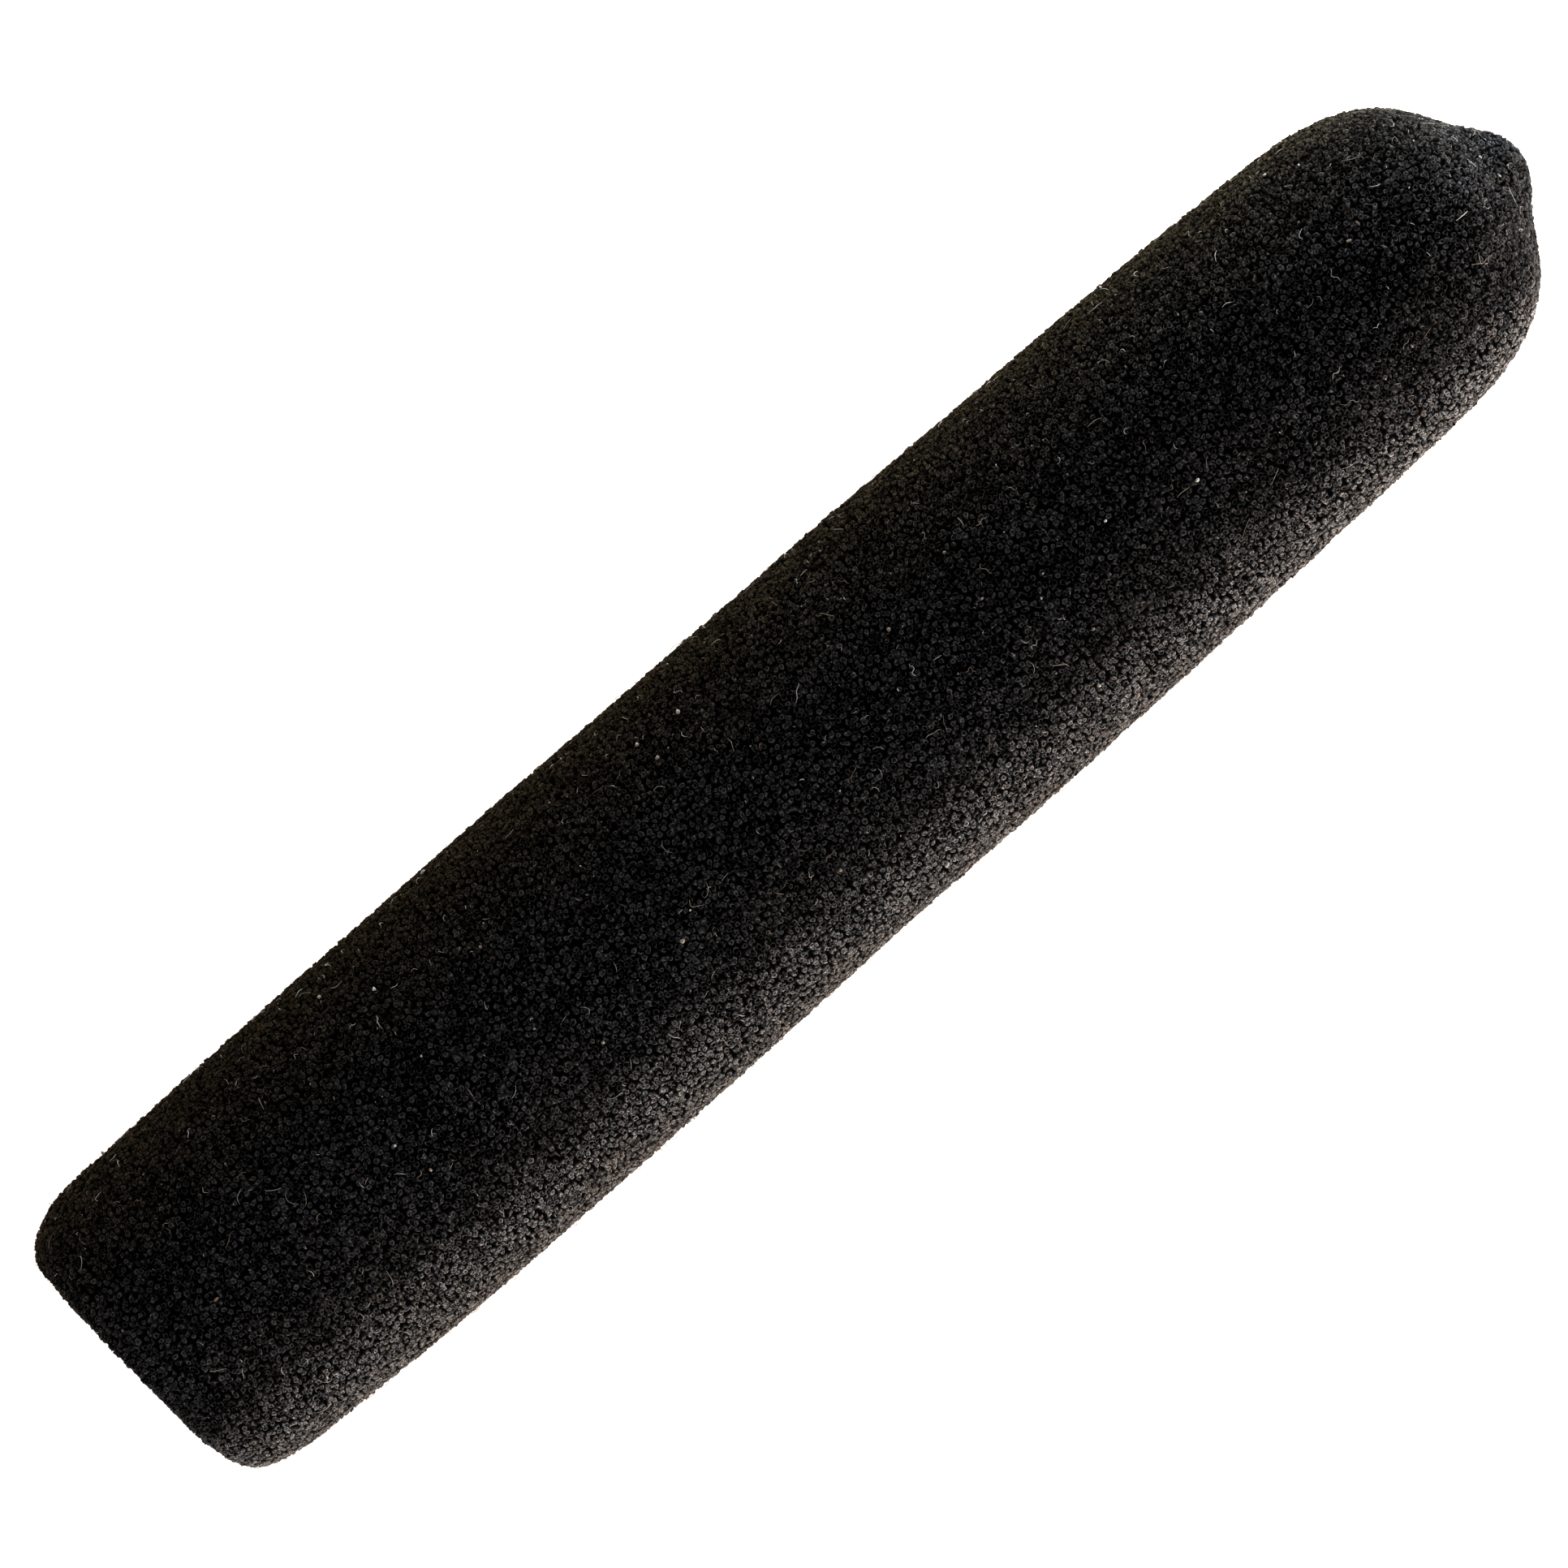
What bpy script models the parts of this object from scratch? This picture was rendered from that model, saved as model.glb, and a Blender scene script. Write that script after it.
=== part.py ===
"""Slip-on foam windscreen for a slim shotgun microphone, lying on its side.

The axis runs along X, from the open mouth at -X to the closed nose at +X. The foam's lowest
line is at Z = 0, and the origin is on it, halfway along. Every piece is turned about the axis,
from an outline of (distance from the mouth's face, radius) points. Sizes are in metres.
"""

import math

import bmesh
import bpy
from mathutils import Vector
from mathutils.geometry import interpolate_bezier

# The whole windscreen
LENGTH = 0.180
BODY_DIAMETER = 0.0354  # at its fullest section

# The outside of the foam, from the mouth to the tip
FACE_DIAMETER = 0.0262  # of the flat ring round the mouth
MOUTH_EDGE_LENGTH = 0.010  # of the soft edge between that ring and the side
MOUTH_TAPER = 0.00045  # the side's radius there is this much under the fullest one
FULLEST_AT = 0.047  # from the mouth's face
SHOULDER_TAPER = 0.0016  # the radius where the dome starts is this much under the fullest one
DOME_LENGTH = 0.018
TIP_LENGTH = 0.004
TIP_ROOT_DIAMETER = 0.014
TIP_CAP_LENGTH = 0.0018
TIP_CAP_DIAMETER = 0.0082

# The bore for the microphone
BORE_DIAMETER = 0.0184
NOSE_THICKNESS = 0.018  # solid foam between the bore's end and the tip
MOUTH_LIP = 0.001  # rounding of the bore's rim
BORE_END_ROUND = 0.0015

# The rubber ring in a groove of the bore
RING_INSET = 0.005  # from the mouth's face
RING_WIDTH = 0.006
RING_SEAT = 0.0016  # the groove's depth in the foam
RIB_COUNT = 3
RIB_STAND = 0.0003  # the ribs' crests stand this far into the bore
RIB_HEIGHT = 0.0006

# The soft pad at the bore's end
PAD_THICKNESS = 0.006
PAD_ROUND = 0.0008

# Between pieces that touch
FIT_GAP = 0.0003

# Fineness of the turned shapes
SIDES = 32
EDGE_STEPS = 5
SIDE_STEPS = 6
DOME_STEPS = 8
TIP_STEPS = 4
ROUND_STEPS = 4
RIB_STEPS = 6
MERGE_WITHIN = 1e-6
SHARP_ABOVE = math.radians(50)

# How each stretch of the outside bends: its two Bezier handles, as shares of the stretch's run
# along the axis and of its change in radius
EDGE_BEND = ((0.0, 0.23), (0.34, 0.90))
BELLY_BEND = ((0.30, 0.80), (0.55, 1.0))
TAPER_BEND = ((0.20, 0.0), (0.855, 0.35))
DOME_BEND = ((0.667, 0.055), (0.833, 0.43))
TIP_FLANK_BEND = ((0.23, 0.30), (0.59, 0.66))
TIP_CAP_BEND = ((0.50, 0.24), (1.0, 0.54))

# Worked out from the sizes above
MOUTH_X = -LENGTH / 2
AXIS_HEIGHT = BODY_DIAMETER / 2
BORE_RADIUS = BORE_DIAMETER / 2
BORE_DEPTH = LENGTH - NOSE_THICKNESS
SEAT_RADIUS = BORE_RADIUS + RING_SEAT


def material(name, colour, roughness):
    """A Principled material with no metal in it."""
    made = bpy.data.materials.new(name)
    made.use_nodes = True
    shader = made.node_tree.nodes["Principled BSDF"]
    shader.inputs["Base Color"].default_value = (*colour, 1.0)
    shader.inputs["Roughness"].default_value = roughness
    shader.inputs["Metallic"].default_value = 0.0
    return made


def black_foam():
    return material("black_foam", (0.012, 0.012, 0.014), 0.95)


def black_rubber():
    return material("black_rubber", (0.020, 0.020, 0.021), 0.55)


def grey_foam():
    return material("grey_foam", (0.045, 0.045, 0.048), 0.95)


def bend(start, end, handles, steps):
    """A Bezier curve from start to end, without start itself."""
    run = Vector(end) - Vector(start)
    pulled = [Vector(start) + Vector(share) * run for share in handles]
    curve = interpolate_bezier(Vector(start), *pulled, Vector(end), steps + 1)
    return [(point.x, point.y) for point in curve[1:]]


def quarter_round(centre, size, first_turn, steps):
    """A quarter circle's points about centre, with angles in quarter turns from the axis."""
    found = []
    for step in range(steps + 1):
        angle = (first_turn + step / steps) * math.pi / 2
        along = centre[0] + size * math.cos(angle)
        radius = centre[1] + size * math.sin(angle)
        found.append((along, radius))
    return found


def outside_outline():
    """The outside of the foam, from the rim of the mouth's face to the tip on the axis."""
    body_radius = BODY_DIAMETER / 2
    dome_at = LENGTH - TIP_LENGTH - DOME_LENGTH
    stretches = [
        (MOUTH_EDGE_LENGTH, body_radius - MOUTH_TAPER, EDGE_BEND, EDGE_STEPS),
        (FULLEST_AT, body_radius, BELLY_BEND, SIDE_STEPS),
        (dome_at, body_radius - SHOULDER_TAPER, TAPER_BEND, SIDE_STEPS),
        (LENGTH - TIP_LENGTH, TIP_ROOT_DIAMETER / 2, DOME_BEND, DOME_STEPS),
        (LENGTH - TIP_CAP_LENGTH, TIP_CAP_DIAMETER / 2, TIP_FLANK_BEND, TIP_STEPS),
        (LENGTH, 0.0, TIP_CAP_BEND, TIP_STEPS),
    ]
    outline = [(0.0, FACE_DIAMETER / 2)]
    for along, radius, handles, steps in stretches:
        outline += bend(outline[-1], (along, radius), handles, steps)
    return outline


def bore_outline():
    """The bore, from its end on the axis to the rim that meets the mouth's face."""
    end_round = (BORE_DEPTH - BORE_END_ROUND, BORE_RADIUS - BORE_END_ROUND)
    lip_round = (MOUTH_LIP, BORE_RADIUS + MOUTH_LIP)
    groove_start = RING_INSET - FIT_GAP
    groove_end = RING_INSET + RING_WIDTH + FIT_GAP
    outline = [(BORE_DEPTH, 0.0)]
    outline += quarter_round(end_round, BORE_END_ROUND, 0, ROUND_STEPS)
    outline += [(groove_end, BORE_RADIUS), (groove_end, SEAT_RADIUS)]
    outline += [(groove_start, SEAT_RADIUS), (groove_start, BORE_RADIUS)]
    lip = quarter_round(lip_round, MOUTH_LIP, 2, ROUND_STEPS)
    outline += lip[::-1]
    return outline


def ring_outline():
    """The ring's section: a flat back towards the foam, and ribs like a cosine towards the bore."""
    crest = BORE_RADIUS - RIB_STAND
    outline = []
    for step in range(RIB_COUNT * RIB_STEPS + 1):
        share = step / (RIB_COUNT * RIB_STEPS)
        depth = RIB_HEIGHT * (1 + math.cos(2 * math.pi * RIB_COUNT * share)) / 2
        outline.append((RING_INSET + share * RING_WIDTH, crest + depth))
    outline.append((RING_INSET + RING_WIDTH, SEAT_RADIUS - FIT_GAP))
    outline.append((RING_INSET, SEAT_RADIUS - FIT_GAP))
    return outline


def pad_outline():
    """The pad's section, from the middle of its front face round to the middle of its back."""
    back = BORE_DEPTH - FIT_GAP
    front = back - PAD_THICKNESS
    radius = BORE_RADIUS - FIT_GAP
    front_centre = (front + PAD_ROUND, radius - PAD_ROUND)
    front_rim = quarter_round(front_centre, PAD_ROUND, 1, ROUND_STEPS)
    # The back's rounding has the size of the bore end's, so that the gap between them is even.
    back_centre = (back - BORE_END_ROUND, radius - BORE_END_ROUND)
    back_rim = quarter_round(back_centre, BORE_END_ROUND, 0, ROUND_STEPS)
    return [(front, 0.0), *front_rim[::-1], *back_rim[::-1], (back, 0.0)]


def turned(name, outline, finish):
    """One closed body turned about the axis, with flats that touch the round shape from outside."""
    on_axis = outline[0][1] == 0.0
    half_side = math.pi / SIDES
    to_corner = 1 / math.cos(half_side)
    shape = bmesh.new()
    corners = []
    for along, radius in outline:
        reach = radius * to_corner
        across = reach * math.sin(half_side)
        up = AXIS_HEIGHT + reach * math.cos(half_side)
        corners.append(shape.verts.new((MOUTH_X + along, across, up)))
    pairs = list(zip(corners, corners[1:]))
    if not on_axis:
        pairs.append((corners[-1], corners[0]))
    edges = [shape.edges.new(pair) for pair in pairs]
    bmesh.ops.spin(
        shape,
        geom=corners + edges,
        cent=(0.0, 0.0, AXIS_HEIGHT),
        axis=(1.0, 0.0, 0.0),
        angle=2 * math.pi,
        steps=SIDES,
    )
    bmesh.ops.remove_doubles(shape, verts=shape.verts, dist=MERGE_WITHIN)
    bmesh.ops.recalc_face_normals(shape, faces=shape.faces)
    mesh = bpy.data.meshes.new(name)
    shape.to_mesh(mesh)
    shape.free()
    mesh.shade_smooth()
    mesh.set_sharp_from_angle(angle=SHARP_ABOVE)
    mesh.materials.append(finish)
    made = bpy.data.objects.new(name, mesh)
    bpy.context.scene.collection.objects.link(made)
    return made


def foam_body():
    """The moulded foam: its outside, and the blind bore with the ring's groove."""
    outline = bore_outline() + outside_outline()
    return turned("foam_body", outline, black_foam())


def grip_ring():
    """The ribbed rubber ring that holds the foam on the microphone's tube."""
    return turned("grip_ring", ring_outline(), black_rubber())


def front_pad():
    """The soft disc that the front of the microphone comes up against."""
    return turned("front_pad", pad_outline(), grey_foam())


def clear_scene():
    for old in list(bpy.data.objects):
        bpy.data.objects.remove(old)


def main():
    clear_scene()
    foam_body()
    grip_ring()
    front_pad()


main()
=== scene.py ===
"""Finished surfaces, materials, light and camera for a slip-on foam microphone windscreen.

The windscreen lies along X on the floor, with its mouth at -X and its nose at +X. Each piece is
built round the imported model, which gives its place and its main sizes. Sizes are in metres.
"""

import math

import bpy
import numpy as np
from bpy.props import FloatProperty, FloatVectorProperty, IntProperty, PointerProperty
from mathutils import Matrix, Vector


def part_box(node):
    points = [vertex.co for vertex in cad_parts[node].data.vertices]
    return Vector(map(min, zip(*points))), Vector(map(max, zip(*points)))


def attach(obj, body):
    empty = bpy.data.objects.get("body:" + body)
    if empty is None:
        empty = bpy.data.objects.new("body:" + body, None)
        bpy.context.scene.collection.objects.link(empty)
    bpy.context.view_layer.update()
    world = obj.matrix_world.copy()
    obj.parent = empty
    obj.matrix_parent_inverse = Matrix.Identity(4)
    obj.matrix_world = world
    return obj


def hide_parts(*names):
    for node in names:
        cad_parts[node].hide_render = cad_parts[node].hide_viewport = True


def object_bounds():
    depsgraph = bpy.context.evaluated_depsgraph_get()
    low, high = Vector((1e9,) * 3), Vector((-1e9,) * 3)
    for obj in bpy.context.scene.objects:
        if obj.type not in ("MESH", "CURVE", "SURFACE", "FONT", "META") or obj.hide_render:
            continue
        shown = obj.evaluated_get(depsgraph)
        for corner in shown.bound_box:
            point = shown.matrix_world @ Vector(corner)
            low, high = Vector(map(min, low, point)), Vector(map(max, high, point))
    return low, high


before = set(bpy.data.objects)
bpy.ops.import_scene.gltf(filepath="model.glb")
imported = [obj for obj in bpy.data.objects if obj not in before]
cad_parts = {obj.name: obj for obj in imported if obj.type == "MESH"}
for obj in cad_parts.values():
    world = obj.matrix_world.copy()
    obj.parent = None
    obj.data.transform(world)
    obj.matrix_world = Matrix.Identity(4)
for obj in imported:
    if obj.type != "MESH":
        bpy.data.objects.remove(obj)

bl_info = {
    "name": "Foam windscreen",
    "version": (1, 0, 0),
    "blender": (4, 5, 0),
    "location": "3D View > Sidebar > Windscreen",
    "description": "Builds the pored foam, the grip ring, the front pad and the lint of a windscreen",
    "category": "Object",
}

MM = 0.001
BODY = "root"

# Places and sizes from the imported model
CAD_LOW, CAD_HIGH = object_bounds()
FLOOR_HEIGHT = CAD_LOW.z
FOAM_LOW, FOAM_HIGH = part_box("foam_body")
RING_LOW, RING_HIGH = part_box("grip_ring")
PAD_LOW, PAD_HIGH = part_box("front_pad")
MOUTH_X = FOAM_LOW.x
LENGTH = FOAM_HIGH.x - FOAM_LOW.x
AXIS_HEIGHT = (FOAM_LOW.z + FOAM_HIGH.z) / 2
BODY_RADIUS = (FOAM_HIGH.z - FOAM_LOW.z) / 2
RING_RADIUS = (RING_HIGH.z - RING_LOW.z) / 2
PAD_RADIUS = (PAD_HIGH.z - PAD_LOW.z) / 2

# The section's other sizes, with distances along the axis from the mouth's face
FIT_GAP = 0.3 * MM
FACE_RADIUS = 13.1 * MM
MOUTH_EDGE_LENGTH = 10 * MM
MOUTH_TAPER = 0.45 * MM
FULLEST_AT = 47 * MM
SHOULDER_TAPER = 1.6 * MM
DOME_LENGTH = 18 * MM
TIP_LENGTH = 4 * MM
TIP_ROOT_RADIUS = 7 * MM
TIP_CAP_LENGTH = 1.8 * MM
TIP_CAP_RADIUS = 4.1 * MM
MOUTH_LIP = 1 * MM
BORE_END_ROUND = 1.5 * MM
PAD_ROUND = 0.8 * MM
BORE_RADIUS = PAD_RADIUS + FIT_GAP
BORE_DEPTH = PAD_HIGH.x + FIT_GAP - MOUTH_X
SEAT_RADIUS = RING_RADIUS + FIT_GAP
GROOVE_START = RING_LOW.x - FIT_GAP - MOUTH_X
GROOVE_END = RING_HIGH.x + FIT_GAP - MOUTH_X

# How each stretch of the outside bends: its two Bezier handles, as shares of the stretch's run
# along the axis and of its change in radius
EDGE_BEND = ((0.0, 0.23), (0.34, 0.90))
BELLY_BEND = ((0.30, 0.80), (0.55, 1.0))
TAPER_BEND = ((0.20, 0.0), (0.855, 0.35))
DOME_BEND = ((0.667, 0.055), (0.833, 0.43))
TIP_FLANK_BEND = ((0.23, 0.30), (0.59, 0.66))
TIP_CAP_BEND = ((0.50, 0.24), (1.0, 0.54))

# How outlines are read and cells are set out on them
OUTLINE_STEP = 0.02 * MM
FACING_REACH = 0.15 * MM
MIRRORED_REACH = 2 * MM
ROW_TO_PITCH = math.sqrt(3) / 2
RING_SPREAD = 0.035  # how far a ring's number of cells may be off, as a share


# Sections and places on the turned surfaces


class Section:
    """An outline of (distance from the mouth, radius) points, read by distance along it.

    The points are joined by straight lines and read back at even steps. Both ends are on the
    axis, and a mirrored stretch past each one gives the right directions there.
    """

    def __init__(self, points):
        points = np.asarray(points, float)
        steps = np.hypot(*np.diff(points, axis=0).T)
        reached = np.concatenate([[0], np.cumsum(steps)])
        self.length = reached[-1]
        mirror = [1, -1]
        spare = (reached > 0) & (reached < MIRRORED_REACH)
        spare_end = (reached < self.length) & (reached > self.length - MIRRORED_REACH)
        self.reached = np.concatenate(
            [-reached[spare][::-1], reached, 2 * self.length - reached[spare_end][::-1]]
        )
        self.points = np.concatenate(
            [points[spare][::-1] * mirror, points, points[spare_end][::-1] * mirror]
        )

    def at(self, reach):
        """(distance from the mouth, radius) at a distance along the outline."""
        along = np.interp(reach, self.reached, self.points[:, 0])
        radius = np.interp(reach, self.reached, self.points[:, 1])
        return along, radius

    def facing(self, reach):
        """The outward direction's parts along the axis and away from it."""
        before = np.array(self.at(reach - FACING_REACH))
        after = np.array(self.at(reach + FACING_REACH))
        run, rise = (after - before) / np.hypot(*(after - before))
        return rise, -run

    def place(self, reach, turn):
        """Points of the turned surface, and their outward directions, turn being in whole turns."""
        along, radius = self.at(reach)
        axial, radial = self.facing(reach)
        across, up = np.cos(2 * np.pi * turn), np.sin(2 * np.pi * turn)
        point = np.stack(
            [MOUTH_X + along, radius * across, AXIS_HEIGHT + radius * up], axis=-1
        )
        facing = np.stack([axial, radial * across, radial * up], axis=-1)
        return point, facing


def bend(start, end, handles, steps=60):
    """A cubic Bezier curve from start to end, its handles given as shares of the way between."""
    start, end = np.array(start), np.array(end)
    first, second = (start + np.array(share) * (end - start) for share in handles)
    t = np.linspace(0, 1, steps)[:, None]
    return (
        (1 - t) ** 3 * start
        + 3 * t * (1 - t) ** 2 * first
        + 3 * t**2 * (1 - t) * second
        + t**3 * end
    )


def quarter_round(centre, size, first_turn, last_turn, steps=16):
    """A circle's points about centre between two angles, in quarter turns from the axis."""
    angle = np.linspace(first_turn, last_turn, steps)[:, None] * np.pi / 2
    return np.array(centre) + size * np.hstack([np.cos(angle), np.sin(angle)])


def foam_section():
    """The foam's outline: from the tip over the outside and the mouth, and down the bore."""
    stretches = [
        (MOUTH_EDGE_LENGTH, BODY_RADIUS - MOUTH_TAPER, EDGE_BEND),
        (FULLEST_AT, BODY_RADIUS, BELLY_BEND),
        (LENGTH - TIP_LENGTH - DOME_LENGTH, BODY_RADIUS - SHOULDER_TAPER, TAPER_BEND),
        (LENGTH - TIP_LENGTH, TIP_ROOT_RADIUS, DOME_BEND),
        (LENGTH - TIP_CAP_LENGTH, TIP_CAP_RADIUS, TIP_FLANK_BEND),
        (LENGTH, 0.0, TIP_CAP_BEND),
    ]
    outside = [(0.0, FACE_RADIUS)]
    for along, radius, handles in stretches:
        outside.extend(bend(outside[-1], (along, radius), handles)[1:])
    lip = quarter_round((MOUTH_LIP, BORE_RADIUS + MOUTH_LIP), MOUTH_LIP, 2, 3)
    groove = [
        (GROOVE_START, BORE_RADIUS),
        (GROOVE_START, SEAT_RADIUS),
        (GROOVE_END, SEAT_RADIUS),
        (GROOVE_END, BORE_RADIUS),
    ]
    end_centre = (BORE_DEPTH - BORE_END_ROUND, BORE_RADIUS - BORE_END_ROUND)
    end_round = quarter_round(end_centre, BORE_END_ROUND, 1, 0)
    return Section(np.vstack([outside[::-1], lip, groove, end_round, [(BORE_DEPTH, 0.0)]]))


def pad_section():
    """The pad's outline, from the middle of its back round to the middle of its front."""
    front, back = PAD_LOW.x - MOUTH_X, PAD_HIGH.x - MOUTH_X
    back_centre = (back - BORE_END_ROUND, PAD_RADIUS - BORE_END_ROUND)
    front_centre = (front + PAD_ROUND, PAD_RADIUS - PAD_ROUND)
    back_rim = quarter_round(back_centre, BORE_END_ROUND, 0, 1)
    front_rim = quarter_round(front_centre, PAD_ROUND, 1, 2)
    return Section(np.vstack([[(back, 0.0)], back_rim, front_rim, [(front, 0.0)]]))


def swells(points, size, seed, waves=9, strength=0.25):
    """Smooth random swells: sine waves in random directions, summed, scaled and cut at -1 and 1."""
    chance = np.random.default_rng(seed)
    total = np.zeros(points.shape[:-1])
    for _ in range(waves):
        heading = chance.normal(size=3)
        heading *= 2 * np.pi / size / np.linalg.norm(heading)
        total += np.sin(points @ heading + chance.uniform(0, 2 * np.pi))
    return np.clip(strength * total, -1, 1)


# The worn, slightly bowed shape of the foam's outside, with each ring that is worn or fuller
# given by its distance from the mouth and its radius

FACE_SET_BACK = 0.3 * MM
FACE_TILT = math.radians(1.3)
FACE_REACH = 4 * MM
WEAR_DEPTH = 1.15 * MM
WEAR_AT = (1 * MM, 12.4 * MM)
WEAR_REACH = 2.2 * MM
FULL_DEPTH = 0.65 * MM
FULL_AT = (3 * MM, 15.8 * MM)
FULL_REACH = 5 * MM
FULL_LOSS = 0.6  # share of the fullness that is missing on the -Y side
BOW = 0.24 * MM
BOW_AT = 42 * MM
BOW_REACH = 32 * MM
DENT_DEPTH = 0.10 * MM
WIDE_DENTS = 34 * MM
SMALL_DENTS = 11 * MM
SMALL_SHARE = 0.6  # depth of the small dents, as a share of the wide ones'
WIDE_SEED, SMALL_SEED = 5, 6
SWELLING = 0.13 * MM
BORE_FADE = 1.5 * MM  # outwards from the groove's radius


def bell(distance):
    """A bell curve: e to the power of minus the distance squared."""
    return np.exp(-(distance**2))


def settle(points, facing):
    """Moves the outside's points as years of use do.

    The mouth's face stands a little back and tilted, which fades out along the axis. The inner
    part of its corner wears back on the -Y side, and the outer part stands fuller on the +Y side,
    both along the normal and as bell curves of the distance from a ring. The body bows towards
    -Y as a bell curve along the axis. The whole outside is a little swollen, and dented by
    swells of two sizes. All this but the face's own move fades out towards the bore.
    """
    along = points[..., 0] - MOUTH_X
    across, up = points[..., 1], points[..., 2] - AXIS_HEIGHT
    radius = np.hypot(across, up)
    outside = np.clip((radius - SEAT_RADIUS) / BORE_FADE, 0, 1)
    outside = np.where(along > BORE_DEPTH, 1, outside)
    side = 0.5 - 0.5 * across / np.maximum(radius, MM)
    from_wear = np.hypot(along - WEAR_AT[0], radius - WEAR_AT[1])
    from_full = np.hypot(along - FULL_AT[0], radius - FULL_AT[1])
    worn = WEAR_DEPTH * bell(from_wear / WEAR_REACH) * side
    fuller = FULL_DEPTH * bell(from_full / FULL_REACH) * (1 - FULL_LOSS * side)
    dents = swells(points, WIDE_DENTS, WIDE_SEED)
    dents += SMALL_SHARE * swells(points, SMALL_DENTS, SMALL_SEED)
    dents *= DENT_DEPTH
    moved = points + facing * ((SWELLING + dents + fuller - worn) * outside)[..., None]
    moved[..., 1] -= BOW * bell((along - BOW_AT) / BOW_REACH) * outside
    near_face = np.clip(1 - along / FACE_REACH, 0, 1)
    moved[..., 0] += (FACE_SET_BACK - FACE_TILT * across) * near_face
    return moved


# Pored foam

LEAST_AROUND = 4  # cells in a ring
CROWD_SIZES = (7 * MM, 2.5 * MM)
CROWD_EFFECT = 0.25  # how much the share of open bubbles falls where they crowd
WEB_DEPTH = 0.14  # as a share of the pitch
GAP_RANGE = (0.5, 1.3)
SINK_RANGE = (0.6, 1.4)
JAG = 0.16  # how far a rim's points stand up or down when it is at its most ragged
NORMAL_CLIP = 2  # standard deviations
OWN_TONE = 0.25  # the bubble's share in its rim's tone

# Pairs: for an open bubble and for one that a film closes
INNER_SHARE = (0.90, 0.70)  # the inner ring's radius, as a share of the rim's
INNER_SINK = (0.45, 0.55)  # its depth, as a share of the bubble's
RIM_HOLLOW = (0.04, 0.0)
INNER_HOLLOW = (1.0, 0.20)
FLOOR_HOLLOW = (1.0, 0.26)
GAP_HOLLOW = (1.0, 0.45)  # here for a gap and for a web


def cell_net(section, pitch_at, chance):
    """A net of triangles whose corners are the foam's cells.

    The cells stand in rings round the axis, a row's height apart, with as many in each ring as
    its girth holds, give or take a few. Between two rings each side of one joins to the nearest
    cell of the other. Gives each cell's distance along the outline and turn, and the triangles.
    """
    reach = np.arange(0, section.length, OUTLINE_STEP)
    rows = np.cumsum(OUTLINE_STEP / (pitch_at(reach) * ROW_TO_PITCH))
    count = round(rows[-1])
    ring_reach = np.interp(np.linspace(0, rows[-1], count + 1), rows, reach)
    ring_reach[0], ring_reach[-1] = 0, section.length
    girth = 2 * np.pi * section.at(ring_reach)[1]
    uneven = 1 + chance.uniform(-RING_SPREAD, RING_SPREAD, count + 1)
    wanted = np.round(girth / pitch_at(ring_reach) * uneven)
    around = np.maximum(LEAST_AROUND, wanted).astype(int)
    around[0] = around[-1] = 1
    half = np.arange(count + 1) % 2
    start = np.concatenate([[0], np.cumsum(around)])
    ring = np.repeat(np.arange(count + 1), around)
    step = np.arange(start[-1]) - start[ring]
    turn = (step + half[ring] / 2) / around[ring]
    following = start[ring] + (step + 1) % around[ring]

    many = around[ring] > 1
    here = np.flatnonzero(many & (ring < count))
    own, other = ring[here], ring[here] + 1
    middle = (2 * step[here] + half[own] + 1) * around[other] - half[other] * around[own]
    apex = (middle + around[own]) // (2 * around[own]) % around[other]
    ahead = np.stack([here, start[other] + apex, following[here]], axis=1)

    here = np.flatnonzero(many & (ring > 0))
    own, other = ring[here], ring[here] - 1
    middle = (2 * step[here] + half[own] + 1) * around[other] - half[other] * around[own]
    apex = -((around[own] - middle) // (2 * around[own])) % around[other]
    behind = np.stack([here, following[here], start[other] + apex], axis=1)
    return ring_reach[ring], turn, np.vstack([ahead, behind])


def corner_links(triangles, cells):
    """For each triangle's corner, the next corner round the same cell."""
    first = triangles.ravel()
    second = np.roll(triangles, -1, axis=1).ravel()
    third = np.roll(triangles, -2, axis=1).ravel()
    key = first * cells + second
    order = np.argsort(key)
    wanted = first * cells + third
    found = order[np.searchsorted(key[order], wanted) % len(order)]
    if not np.array_equal(key[found], wanted):
        raise RuntimeError("The net of cells has an open edge")
    return found


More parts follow.
